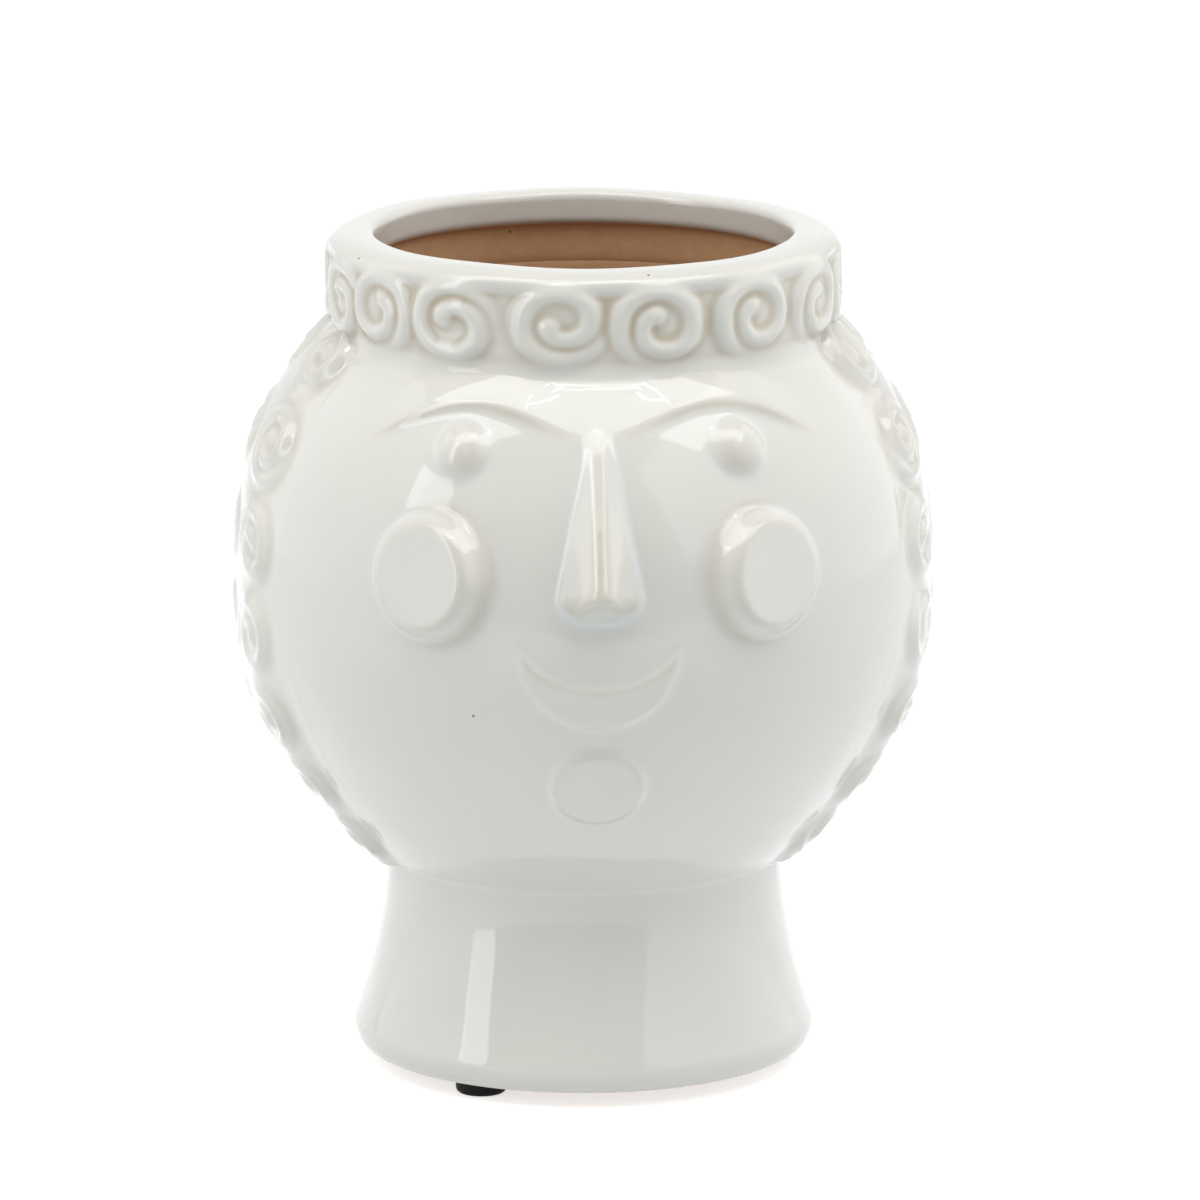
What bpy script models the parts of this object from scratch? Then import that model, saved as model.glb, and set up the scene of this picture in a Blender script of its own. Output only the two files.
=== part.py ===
"""Face planter: a slip-cast stoneware pot shaped as a curly head, standing on three rubber pads.

Metres, +Z up. The face looks along -Y. The origin is on the table under the middle of the whole
object. The pot's own axis stands a little behind it, because only the nose reaches out past the
hair. Azimuths are measured round the pot's axis from the face, positive towards +X.
"""
import math

import bmesh
import bpy
import numpy as np
from mathutils import Matrix, Vector

# Heights, stacked from the table up
PAD_THICKNESS = 0.0027
SEAT_GAP = 0.0003
PEDESTAL_HEIGHT = 0.0385
HEAD_HEIGHT = 0.1075
COLLAR_HEIGHT = 0.016

# Turned head and foot
HEAD_RADIUS = 0.0665
HEAD_WIDEST_SHARE = 0.493
CROWN_FULLNESS = 2.7
CHIN_FULLNESS = 1.85
NECK_RADIUS = 0.0386
FOOT_RADIUS = 0.045
FOOT_FULLNESS = 1.7
FOOT_BELLY_HEIGHT = 0.005
FOOT_EDGE_DRAW = 0.003
WALL = 0.005
FLOOR = 0.0055
RECESS_DEPTH = 0.002

# Collar and mouth
COLLAR_RADIUS = 0.0480
COLLAR_STEP = 0.0035
COLLAR_EDGE_ROUND = 0.0022
COLLAR_WALL = 0.0076
LIP_ROUND = 0.0035
LIP_INNER_ROUND = 0.0012
MOUTH_FLANGE_DEPTH = 0.0070
FLANGE_STEP = 0.0016
THROAT_WALL = 0.0030

# Stick-on pads, a margin in from both edges of the foot ring
PAD_DIAMETER = 0.010
PAD_NAMES = ("pad_left_front", "pad_right", "pad_left_back")
PAD_OUTER_MARGIN = 0.0018
PAD_INNER_MARGIN = 0.0032
FIRST_PAD_AZIMUTH = math.radians(-37)
PAD_EDGE_ROUND = 0.0006

# Hair curls: one turn of a strand that runs in to a bead
STRAND_RADIUS = 0.0023
STRAND_GAP = 0.0003
BEAD_REACH_SHARE = 0.87
BEAD_SHARE = 1.10
TAIL_SHARE = 0.75
CURL_PROUD = 0.0024
CURL_SINK = 0.0005
CURL_GAP = 0.0006
CURL_ROW_PITCH = 0.0173
CURL_ROW_SHARE = 0.2
CURL_TURN_STEP = math.radians(137.5)
HAIRLINE_AZIMUTH = math.radians(71)
COLLAR_CURL_COUNT = 16
COLLAR_CURL_HANG = 0.0016

# Nose, in four sections: top, tip, underside and base
NOSE_TOP_SHARE = 0.858
NOSE_TOP_WIDTH = 0.0052
NOSE_TOP_RIDGE = 0.0024
NOSE_TOP_PROUD = 0.0012
NOSE_TIP_SHARE = 0.622
NOSE_WIDTH = 0.0166
NOSE_RIDGE = 0.0034
NOSE_PROUD = 0.0113
NOSE_UNDER_SHARE = 0.584
NOSE_UNDER_RIDGE = 0.0054
NOSE_UNDER_PROUD = 0.0079
NOSE_BASE_SHARE = 0.545
NOSE_BASE_WIDTH = 0.0110
NOSE_BASE_PROUD = 0.0014
NOSE_ROUND = 0.0009

# Cheeks
CHEEK_AZIMUTH = math.radians(30)
CHEEK_TURN = math.radians(42)
CHEEK_SHARE = 0.633
CHEEK_FLAT_RADIUS = 0.0110
CHEEK_BASE_RADIUS = 0.0140
CHEEK_PROUD = 0.0033
CHEEK_DEPTH = 0.0075
CHEEK_ROUND = 0.0010

# Eyes and brows
EYE_AZIMUTH = math.radians(25.8)
EYE_SHARE = 0.842
EYE_RADIUS = 0.0056
EYE_PROUD = 0.0034
BROW_INNER_AZIMUTH = math.radians(11)
BROW_OUTER_AZIMUTH = math.radians(44)
BROW_INNER_SHARE = 0.876
BROW_PEAK_SHARE = 0.913
BROW_OUTER_SHARE = 0.858
BROW_RADIUS = 0.0019
BROW_END_SHARE = 0.55

# Smile and chin
SMILE_HALF_WIDTH = 0.0155
SMILE_CORNER_SHARE = 0.504
SMILE_TOP_SAG = 0.0070
SMILE_BOTTOM_SAG = 0.0161
SMILE_PROUD = 0.0016
CHIN_SHARE = 0.240
CHIN_RADIUS = 0.0088
CHIN_PROUD = 0.0015
CHIN_DRAFT = 0.0009
CHIN_ROUND = 0.0005

# How far the face's raised forms reach down into the wall
ROOT_DEPTH = 0.0030

# Facets
TURN_STEPS = 36
HEAD_STEPS = 10
FOOT_STEPS = 4
ROUND_STEPS = 2
CAVITY_STEPS = 20
CAVITY_HEAD_STEPS = 6
CURL_STEPS = 7
CHEEK_STEPS = 20
CHIN_STEPS = 16
EYE_STEPS = 12
BROW_STEPS = 8
SMILE_STEPS = 11
PAD_STEPS = 24
OUTLINE_SAMPLES = 400

FOOT_BOTTOM = PAD_THICKNESS + SEAT_GAP
NECK_TOP = FOOT_BOTTOM + PEDESTAL_HEIGHT
COLLAR_BOTTOM = NECK_TOP + HEAD_HEIGHT
OVERALL_HEIGHT = COLLAR_BOTTOM + COLLAR_HEIGHT
HEAD_WIDEST = NECK_TOP + HEAD_WIDEST_SHARE * HEAD_HEIGHT
FOOT_BELLY = FOOT_BOTTOM + FOOT_BELLY_HEIGHT
FOOT_BOTTOM_RADIUS = FOOT_RADIUS - FOOT_EDGE_DRAW
FLOOR_TOP = FOOT_BOTTOM + RECESS_DEPTH + FLOOR
COLLAR_ROOT_RADIUS = COLLAR_RADIUS - COLLAR_STEP
MOUTH_RADIUS = COLLAR_RADIUS - COLLAR_WALL
PAD_CIRCLE_RADIUS = FOOT_BOTTOM_RADIUS - PAD_OUTER_MARGIN - PAD_DIAMETER / 2
RECESS_RADIUS = PAD_CIRCLE_RADIUS - PAD_DIAMETER / 2 - PAD_INNER_MARGIN
CURL_INNER_REACH = BEAD_REACH_SHARE * STRAND_RADIUS
CURL_REACH = CURL_INNER_REACH + 2 * STRAND_RADIUS + STRAND_GAP
CURL_SPAN = 2 * (CURL_REACH + STRAND_RADIUS) + CURL_GAP


def head_radius(height):
    """Radius of the bare head: full at its widest height, falling to the neck and to the collar."""
    up = np.clip((height - HEAD_WIDEST) / (COLLAR_BOTTOM - HEAD_WIDEST), 0, 1)
    down = np.clip((HEAD_WIDEST - height) / (HEAD_WIDEST - NECK_TOP), 0, 1)
    crown = (HEAD_RADIUS - COLLAR_ROOT_RADIUS) * up ** CROWN_FULLNESS
    chin = (HEAD_RADIUS - NECK_RADIUS) * down ** CHIN_FULLNESS
    return HEAD_RADIUS - crown - chin


# The head's outline from the neck up, with the distance run along it
OUTLINE_HEIGHTS = np.linspace(NECK_TOP, COLLAR_BOTTOM, OUTLINE_SAMPLES)
OUTLINE_RADII = head_radius(OUTLINE_HEIGHTS)
OUTLINE_STEPS = np.hypot(np.diff(OUTLINE_HEIGHTS), np.diff(OUTLINE_RADII))
OUTLINE_RUN = np.concatenate([[0], np.cumsum(OUTLINE_STEPS)])


def run_at(share):
    """Distance run up the head's outline to a share of the head's height."""
    return float(np.interp(NECK_TOP + share * HEAD_HEIGHT, OUTLINE_HEIGHTS, OUTLINE_RUN))


def direction(azimuth):
    """Level unit vector from the pot's axis, at an azimuth from the face."""
    return Vector((math.sin(azimuth), -math.cos(azimuth), 0))


def on_head(azimuth, run, proud=0.0):
    """Point on the bare head, or standing proud of it, at an azimuth and a run up its outline."""
    radius = float(np.interp(run, OUTLINE_RUN, OUTLINE_RADII))
    height = float(np.interp(run, OUTLINE_RUN, OUTLINE_HEIGHTS))
    level, upright = slope_at(run)
    return direction(azimuth) * (radius + proud * level) + Vector((0, 0, height + proud * upright))


def slope_at(run):
    """Level and upright parts of the head's outward normal at a run up its outline."""
    step = OUTLINE_RUN[-1] / 100
    low, high = max(run - step, 0), min(run + step, OUTLINE_RUN[-1])
    rise = np.interp(high, OUTLINE_RUN, OUTLINE_HEIGHTS) - np.interp(low, OUTLINE_RUN, OUTLINE_HEIGHTS)
    spread = np.interp(high, OUTLINE_RUN, OUTLINE_RADII) - np.interp(low, OUTLINE_RUN, OUTLINE_RADII)
    length = math.hypot(rise, spread)
    return rise / length, -spread / length


def on_collar(azimuth, height, proud=0.0):
    """Point on the collar's upright wall, or standing proud of it."""
    return direction(azimuth) * (COLLAR_RADIUS + proud) + Vector((0, 0, height))


def clear_scene():
    for item in list(bpy.data.objects):
        bpy.data.objects.remove(item, do_unlink=True)


def new_collection(name):
    collection = bpy.data.collections.new(name)
    bpy.context.scene.collection.children.link(collection)
    return collection


def new_material(name, color, roughness):
    """Plain Principled material, its colour given as linear red, green and blue."""
    material = bpy.data.materials.new(name)
    material.use_nodes = True
    shader = material.node_tree.nodes["Principled BSDF"]
    shader.inputs["Base Color"].default_value = (*color, 1)
    shader.inputs["Roughness"].default_value = roughness
    shader.inputs["Metallic"].default_value = 0
    return material


def add_object(name, data, collection, parent):
    item = bpy.data.objects.new(name, data)
    collection.objects.link(item)
    item.parent = parent
    return item


def mark_cutter(item):
    item.hide_render = True
    item.display_type = "WIRE"


def mesh_from_bmesh(name, form):
    """Mesh shaded smooth, but for its corners."""
    mesh = bpy.data.meshes.new(name)
    form.to_mesh(mesh)
    form.free()
    mesh.shade_smooth()
    mesh.set_sharp_from_angle(angle=math.radians(50))
    return mesh


def mesh_from_curve(name, curve):
    """Closed mesh of a curve: its caps are loose, so they are welded to the tube."""
    guide = bpy.data.objects.new(name + "_guide", curve)
    bpy.context.scene.collection.objects.link(guide)
    bpy.context.view_layer.update()
    evaluated = guide.evaluated_get(bpy.context.evaluated_depsgraph_get())
    mesh = bpy.data.meshes.new_from_object(evaluated)
    bpy.data.objects.remove(guide, do_unlink=True)
    form = bmesh.new()
    form.from_mesh(mesh)
    bmesh.ops.remove_doubles(form, verts=form.verts, dist=1e-6)
    bmesh.ops.recalc_face_normals(form, faces=form.faces)
    form.to_mesh(mesh)
    form.free()
    return mesh


def turned(name, profile, steps, collection, parent):
    """Body of revolution from a profile of (radius, height) points that runs down its outer side."""
    mesh = bpy.data.meshes.new(name)
    points = [(radius, 0, height) for radius, height in profile]
    edges = [(index, index + 1) for index in range(len(points) - 1)]
    mesh.from_pydata(points, edges, [])
    item = add_object(name, mesh, collection, parent)
    screw = item.modifiers.new("turn", "SCREW")
    screw.steps = steps
    screw.render_steps = steps
    screw.use_merge_vertices = True
    screw.merge_threshold = 0.00001
    return item


def arc_points(center, reaches, start, end, steps):
    """Points on an ellipse in the profile plane, from a start to an end angle in degrees."""
    angles = np.radians(np.linspace(start, end, steps + 1))
    across = center[0] + reaches[0] * np.cos(angles)
    up = center[1] + reaches[1] * np.sin(angles)
    return [(float(radius), float(height)) for radius, height in zip(across, up)]


def body_profile():
    """Outer side of the pot: lip, collar, head, neck, flared foot and the recess under it."""
    lip_center = (COLLAR_RADIUS - LIP_ROUND, OVERALL_HEIGHT - LIP_ROUND)
    edge_center = (COLLAR_RADIUS - COLLAR_EDGE_ROUND, COLLAR_BOTTOM + COLLAR_EDGE_ROUND)
    belly_center = (FOOT_BOTTOM_RADIUS, FOOT_BELLY)
    points = [(0, OVERALL_HEIGHT)]
    points += arc_points(lip_center, (LIP_ROUND, LIP_ROUND), 90, 0, ROUND_STEPS)
    points += arc_points(edge_center, (COLLAR_EDGE_ROUND, COLLAR_EDGE_ROUND), 0, -70, ROUND_STEPS)
    head_heights = np.linspace(COLLAR_BOTTOM - LIP_ROUND / 2, NECK_TOP, HEAD_STEPS + 1)
    points += [(float(head_radius(height)), float(height)) for height in head_heights]
    flare_heights = np.linspace(NECK_TOP, FOOT_BELLY, FOOT_STEPS + 1)[1:-1]
    points += [(float(flare_radius(height)), float(height)) for height in flare_heights]
    points += arc_points(belly_center, (FOOT_EDGE_DRAW, FOOT_BELLY_HEIGHT), 0, -90, ROUND_STEPS)
    points += [(RECESS_RADIUS, FOOT_BOTTOM), (RECESS_RADIUS - RECESS_DEPTH, FOOT_BOTTOM + RECESS_DEPTH)]
    points += [(0, FOOT_BOTTOM + RECESS_DEPTH)]
    return points


def flare_radius(height):
    """Radius of the pedestal: it spreads from the neck to the foot's belly as a power of the drop."""
    drop = (NECK_TOP - height) / (NECK_TOP - FOOT_BELLY)
    return NECK_RADIUS + (FOOT_RADIUS - NECK_RADIUS) * drop ** FOOT_FULLNESS


def cavity_profile():
    """Inside of the pot: the mouth's flange, then a wall's thickness in from the outside."""
    flange_bottom = OVERALL_HEIGHT - MOUTH_FLANGE_DEPTH
    above = 2 * LIP_INNER_ROUND
    points = [(0, OVERALL_HEIGHT + above), (MOUTH_RADIUS + LIP_INNER_ROUND + above, OVERALL_HEIGHT + above)]
    points += [(MOUTH_RADIUS, OVERALL_HEIGHT - LIP_INNER_ROUND), (MOUTH_RADIUS, flange_bottom)]
    points += [(MOUTH_RADIUS + FLANGE_STEP, flange_bottom - FLANGE_STEP)]
    points += [(COLLAR_ROOT_RADIUS - THROAT_WALL, COLLAR_BOTTOM - THROAT_WALL)]
    for share in np.linspace(0.9, 0.04, CAVITY_HEAD_STEPS + 1):
        point = on_head(0, run_at(share), -WALL)
        points += [(-point.y, point.z)]
    for height in np.linspace(NECK_TOP, FLOOR_TOP, FOOT_STEPS)[1:-1]:
        points += [(float(flare_radius(height)) - WALL, float(height))]
    points += [(FOOT_RADIUS - 2 * WALL, FLOOR_TOP), (0, FLOOR_TOP)]
    return points


def spiral_curve(name, hand):
    """Flat one-turn spiral strand in the XY plane, running in to a bead, as a tube curve."""
    shares = np.linspace(0, 1, CURL_STEPS + 1)
    angles = hand * shares * 2 * math.pi
    reaches = CURL_REACH + (CURL_INNER_REACH - CURL_REACH) * shares
    curve = bpy.data.curves.new(name, "CURVE")
    curve.dimensions = "3D"
    curve.twist_mode = "Z_UP"
    curve.bevel_depth = STRAND_RADIUS
    curve.bevel_resolution = 0
    curve.use_fill_caps = True
    spline = curve.splines.new("POLY")
    spline.points.add(CURL_STEPS)
    for point, reach, angle in zip(spline.points, reaches, angles):
        point.co = (reach * math.cos(angle), reach * math.sin(angle), 0, 1)
    spline.points[0].radius = TAIL_SHARE
    spline.points[CURL_STEPS].radius = BEAD_SHARE
    return curve


def bend_on(form, template, place):
    """Copy a flat template into a bmesh, each of its points carried on to the pot by a function."""
    corners = [form.verts.new(place(vertex.co)) for vertex in template.vertices]
    for face in template.polygons:
        form.faces.new([corners[index] for index in face.vertices])


def strand_lift(height):
    """Height over the clay of a point of the flat strand, whose widest line lies just under it."""
    return height / STRAND_RADIUS * (CURL_PROUD + CURL_SINK) - CURL_SINK


def turned_flat(point, turn, width, tall):
    """Flat curl's point turned about the curl's middle, then scaled to the room it has."""
    across = width * (point.x * math.cos(turn) - point.y * math.sin(turn))
    along = tall * (point.x * math.sin(turn) + point.y * math.cos(turn))
    return across, along


def curl_on_head(azimuth, run, turn, width, tall):
    """Function that carries a flat curl's point on to the head round a centre."""
    radius = float(np.interp(run, OUTLINE_RUN, OUTLINE_RADII))

    def place(point):
        across, along = turned_flat(point, turn, width, tall)
        return on_head(azimuth + across / radius, run + along, strand_lift(point.z))

    return place


def curl_on_collar(azimuth, height, turn, width, tall):
    """Function that carries a flat curl's point on to the collar round a centre."""

    def place(point):
        across, along = turned_flat(point, turn, width, tall)
        return on_collar(azimuth + across / COLLAR_RADIUS, height + along, strand_lift(point.z))

    return place


def head_rows():
    """Rows of curls down the head, closer towards the neck.

    Gives each row's run up the outline, the width and height of its curls against a full one,
    and their azimuths, which go round the back from one hairline to the other.
    """
    top = OUTLINE_RUN[-1] - CURL_SPAN / 2
    bottom = CURL_SPAN / 2
    row_gaps = int(round((top - bottom) / CURL_ROW_PITCH))
    shares = np.linspace(0, 1, row_gaps + 1)
    drops = shares * (1 + CURL_ROW_SHARE) - CURL_ROW_SHARE * shares ** 2
    pitches = (top - bottom) / row_gaps * (1 + CURL_ROW_SHARE * (1 - 2 * shares))
    span = 2 * (math.pi - HAIRLINE_AZIMUTH)
    rows = []
    for run, pitch in zip(top - (top - bottom) * drops, pitches):
        tall = min(float(pitch) / CURL_SPAN, 1)
        width = math.sqrt(tall)
        radius = float(np.interp(run, OUTLINE_RUN, OUTLINE_RADII))
        gaps = int(radius * span / (CURL_SPAN * width))
        azimuths = np.linspace(HAIRLINE_AZIMUTH, HAIRLINE_AZIMUTH + span, gaps + 1)
        rows.append((float(run), width, tall, [float(azimuth) for azimuth in azimuths]))
    return rows


def make_hair(collection, parent):
    """All the curls as one guide: rows over the back and sides, and a ring round the collar."""
    templates = {hand: mesh_from_curve("curl", spiral_curve("curl", hand)) for hand in (1, -1)}
    form = bmesh.new()
    for row, (run, width, tall, azimuths) in enumerate(head_rows()):
        for column, azimuth in enumerate(azimuths):
            hand = 1 if azimuth < math.pi else -1
            turn = math.pi / 2 + (row + column) * CURL_TURN_STEP
            bend_on(form, templates[hand], curl_on_head(azimuth, run, turn, width, tall))
    width = 2 * math.pi * COLLAR_RADIUS / COLLAR_CURL_COUNT / CURL_SPAN
    tall = (COLLAR_HEIGHT + COLLAR_CURL_HANG) / CURL_SPAN
    middle = COLLAR_BOTTOM + (COLLAR_HEIGHT - COLLAR_CURL_HANG) / 2
    for index in range(COLLAR_CURL_COUNT):
        azimuth = (index + 0.5) * 2 * math.pi / COLLAR_CURL_COUNT
        hand = 1 if index % 2 else -1
        turn = index * CURL_TURN_STEP
        bend_on(form, templates[hand], curl_on_collar(azimuth, middle, turn, width, tall))
    hair = add_object("hair", mesh_from_bmesh("hair", form), collection, parent)
    mark_cutter(hair)
    return hair


def make_nose(collection, parent):
    """Wedge lofted down the face: narrow at the brow, widest at the tip, cut back below it."""
    form = bmesh.new()
    sections = (
        (NOSE_TOP_SHARE, NOSE_TOP_WIDTH, NOSE_TOP_RIDGE, NOSE_TOP_PROUD),
        (NOSE_TIP_SHARE, NOSE_WIDTH, NOSE_RIDGE, NOSE_PROUD),
        (NOSE_UNDER_SHARE, NOSE_WIDTH, NOSE_UNDER_RIDGE, NOSE_UNDER_PROUD),
        (NOSE_BASE_SHARE, NOSE_BASE_WIDTH, NOSE_UNDER_RIDGE, NOSE_BASE_PROUD),
    )
    rings = []
    for share, width, ridge, proud in sections:
        run = run_at(share)
        radius = float(np.interp(run, OUTLINE_RUN, OUTLINE_RADII))
        half = width / 2 / radius
        ridge_half = ridge / 2 / radius
        ring = [on_head(-half, run, -ROOT_DEPTH), on_head(half, run, -ROOT_DEPTH)]
        ring += [on_head(half, run, 0.0), on_head(ridge_half, run, proud)]
        ring += [on_head(-ridge_half, run, proud), on_head(-half, run, 0.0)]
        rings.append([form.verts.new(point) for point in ring])
    for upper, lower in zip(rings, rings[1:]):
        for index in range(len(upper)):
            after = (index + 1) % len(upper)
            form.faces.new((upper[index], upper[after], lower[after], lower[index]))
    form.faces.new(rings[0])
    form.faces.new(rings[-1])
    bmesh.ops.recalc_face_normals(form, faces=form.faces)
    nose = add_object("nose", mesh_from_bmesh("nose", form), collection, parent)
    bevel = nose.modifiers.new("soft edges", "BEVEL")
    bevel.width = NOSE_ROUND
    bevel.segments = 1
    bevel.limit_method = "ANGLE"
    bevel.angle_limit = math.radians(20)
    mark_cutter(nose)
    return nose


def disc_matrix(center, outward):
    """Place for a disc: its middle at a point, its local Z along an outward direction."""
    return Matrix.Translation(center) @ outward.to_track_quat("Z", "Y").to_matrix().to_4x4()


def raised_disc(name, radii, depth, edge_round, segments, collection, parent):
    """Round disc with sloped sides, its flat face at the local origin and its body below."""
    form = bmesh.new()
    shift = Matrix.Translation((0, 0, -depth / 2))
    bmesh.ops.create_cone(
        form, cap_ends=True, segments=segments, radius1=radii[0], radius2=radii[1], depth=depth, matrix=shift
    )
    disc = add_object(name, mesh_from_bmesh(name, form), collection, parent)
    bevel = disc.modifiers.new("soft edge", "BEVEL")
    bevel.width = edge_round
    bevel.segments = 1
    bevel.limit_method = "ANGLE"
    bevel.angle_limit = math.radians(40)
    mark_cutter(disc)
    return disc


def make_cheek(side, collection, parent):
    """Flat round cheek turned outwards more than the head behind it, so its nose side stands tall."""
    name = "cheek_right" if side > 0 else "cheek_left"
    radii = (CHEEK_BASE_RADIUS, CHEEK_FLAT_RADIUS)
    cheek = raised_disc(name, radii, CHEEK_DEPTH, CHEEK_ROUND, CHEEK_STEPS, collection, parent)
    run = run_at(CHEEK_SHARE)
    level, upright = slope_at(run)
    outward = direction(side * CHEEK_TURN) * level + Vector((0, 0, upright))
    cheek.matrix_local = disc_matrix(on_head(side * CHEEK_AZIMUTH, run, CHEEK_PROUD), outward)
    return cheek


def make_chin(collection, parent):
    """Flat round chin, square to the head behind it."""
    radii = (CHIN_RADIUS + CHIN_DRAFT, CHIN_RADIUS)
    depth = ROOT_DEPTH + CHIN_PROUD
    chin = raised_disc("chin", radii, depth, CHIN_ROUND, CHIN_STEPS, collection, parent)
    run = run_at(CHIN_SHARE)
    level, upright = slope_at(run)
    outward = direction(0) * level + Vector((0, 0, upright))
    chin.matrix_local = disc_matrix(on_head(0, run, CHIN_PROUD), outward)
    return chin


def make_eye(side, collection, parent):
    """Eye as a flattened ball, half sunk in the face."""
    form = bmesh.new()
    flatten = Matrix.Diagonal((1, 1, EYE_PROUD / EYE_RADIUS, 1))
    bmesh.ops.create_uvsphere(
        form, u_segments=EYE_STEPS, v_segments=EYE_STEPS // 2, radius=EYE_RADIUS, matrix=flatten
    )
    name = "eye_right" if side > 0 else "eye_left"
    eye = add_object(name, mesh_from_bmesh(name, form), collection, parent)
    run = run_at(EYE_SHARE)
    level, upright = slope_at(run)
    outward = direction(side * EYE_AZIMUTH) * level + Vector((0, 0, upright))
    eye.matrix_local = disc_matrix(on_head(side * EYE_AZIMUTH, run), outward)
    mark_cutter(eye)
    return eye


def brow_share(share):
    """Height share along a brow: a bow from the inner end over the peak to the outer end."""
    straight = BROW_INNER_SHARE + (BROW_OUTER_SHARE - BROW_INNER_SHARE) * share
    rise = BROW_PEAK_SHARE - 0.5 * (BROW_INNER_SHARE + BROW_OUTER_SHARE)
    return straight + rise * math.sin(math.pi * share)


def make_brow(side, collection, parent):
    """Brow as a tapered ridge, half sunk in the forehead."""
    name = "brow_right" if side > 0 else "brow_left"
    curve = bpy.data.curves.new(name, "CURVE")
    curve.dimensions = "3D"
    curve.bevel_depth = BROW_RADIUS
    curve.bevel_resolution = 0
    curve.use_fill_caps = True
    spline = curve.splines.new("POLY")
    spline.points.add(BROW_STEPS)
    for share, point in zip(np.linspace(0, 1, BROW_STEPS + 1), spline.points):
        azimuth = side * (BROW_INNER_AZIMUTH + (BROW_OUTER_AZIMUTH - BROW_INNER_AZIMUTH) * share)
        point.co = (*on_head(azimuth, run_at(brow_share(share))), 1)
        point.radius = BROW_END_SHARE + (1 - BROW_END_SHARE) * math.sin(math.pi * share)
    brow = add_object(name, mesh_from_curve(name, curve), collection, parent)
    mark_cutter(brow)
    return brow


def make_smile(collection, parent):
    """Crescent between two arcs through the same corners, drawn flat and bent on to the head."""
    curve = bpy.data.curves.new("smile", "CURVE")
    curve.dimensions = "2D"
    curve.fill_mode = "BOTH"
    curve.extrude = (SMILE_PROUD + ROOT_DEPTH) / 2
    spline = curve.splines.new("POLY")
    points = sag_arc(SMILE_BOTTOM_SAG) + sag_arc(SMILE_TOP_SAG)[::-1][1:-1]
    spline.points.add(len(points) - 1)
    for point, (x, y) in zip(spline.points, points):
        point.co = (x, y, 0, 1)
    spline.use_cyclic_u = True
    template = mesh_from_curve("smile", curve)
    corner_run = run_at(SMILE_CORNER_SHARE)
    radius = float(np.interp(corner_run, OUTLINE_RUN, OUTLINE_RADII))
    middle = (SMILE_PROUD - ROOT_DEPTH) / 2

    def place(point):
        """Flat drawing's point, bent round the head below the corners' level."""
        return on_head(point.x / radius, corner_run + point.y, middle + point.z)

    form = bmesh.new()
    bend_on(form, template, place)
    smile = add_object("smile", mesh_from_bmesh("smile", form), collection, parent)
    mark_cutter(smile)
    return smile


def sag_arc(sag):
    """Arc through both corners of the smile that hangs by a given sag in the middle."""
    radius = (SMILE_HALF_WIDTH ** 2 + sag ** 2) / (2 * sag)
    middle = radius - sag
    half_angle = math.atan2(SMILE_HALF_WIDTH, middle)
    if sag > SMILE_HALF_WIDTH:
        half_angle = math.pi - math.atan2(SMILE_HALF_WIDTH, -middle)
    angles = np.linspace(-half_angle, half_angle, SMILE_STEPS + 1)
    return [(radius * math.sin(angle), middle - radius * math.cos(angle)) for angle in angles]


def add_boolean(item, other, operation):
    boolean = item.modifiers.new(operation.lower() + " " + other.name, "BOOLEAN")
    boolean.operation = operation
    boolean.object = other
    boolean.solver = "EXACT"


def make_pot(collection, cutters, parent):
    """Whole fired body: turned solid, curls and face joined on, then hollowed."""
    pot = turned("pot", body_profile(), TURN_STEPS, collection, parent)
    reliefs = [make_hair(cutters, parent), make_nose(cutters, parent)]
    for side in (-1, 1):
        reliefs += [make_cheek(side, cutters, parent), make_eye(side, cutters, parent)]
        reliefs += [make_brow(side, cutters, parent)]
    reliefs += [make_smile(cutters, parent), make_chin(cutters, parent)]
    for relief in reliefs:
        add_boolean(pot, relief, "UNION")
    cavity = turned("cavity", cavity_profile(), CAVITY_STEPS, cutters, parent)
    mark_cutter(cavity)
    add_boolean(pot, cavity, "DIFFERENCE")
    return pot


def make_pad(name, azimuth, collection, parent):
    """Rubber pad stuck under the foot ring."""
    form = bmesh.new()
    shift = Matrix.Translation((0, 0, PAD_THICKNESS / 2))
    radius = PAD_DIAMETER / 2
    bmesh.ops.create_cone(
        form, cap_ends=True, segments=PAD_STEPS, radius1=radius, radius2=radius,
        depth=PAD_THICKNESS, matrix=shift
    )
    pad = add_object(name, mesh_from_bmesh(name, form), collection, parent)
    pad.location = direction(azimuth) * PAD_CIRCLE_RADIUS
    bevel = pad.modifiers.new("soft edge", "BEVEL")
    bevel.width = PAD_EDGE_ROUND
    bevel.segments = 1
    bevel.limit_method = "ANGLE"
    bevel.angle_limit = math.radians(40)
    return pad


clear_scene()
parts = new_collection("face_planter")
cutters = new_collection("cutters")
glaze = new_material("glazed_stoneware", (0.80, 0.79, 0.74), 0.12)
rubber = new_material("black_rubber", (0.010, 0.010, 0.010), 0.6)

axis = bpy.data.objects.new("pot_axis", None)
parts.objects.link(axis)
hair_reach = HEAD_RADIUS + CURL_PROUD
nose_reach = -on_head(0, run_at(NOSE_TIP_SHARE), NOSE_PROUD).y
axis.location.y = (nose_reach - hair_reach) / 2

pot = make_pot(parts, cutters, axis)
pot.data.materials.append(glaze)
for index, name in enumerate(PAD_NAMES):
    pad_azimuth = FIRST_PAD_AZIMUTH + index * 2 * math.pi / len(PAD_NAMES)
    pad = make_pad(name, pad_azimuth, parts, axis)
    pad.data.materials.append(rubber)
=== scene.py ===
"""Face planter, dressed over its CAD frame: glazed stoneware head with curls, on three rubber pads.

Sizes in the sections are in millimetres, and meshes are made in metres. Azimuths are measured
round the pot's axis from the face, positive towards +X.
"""
import math

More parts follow.
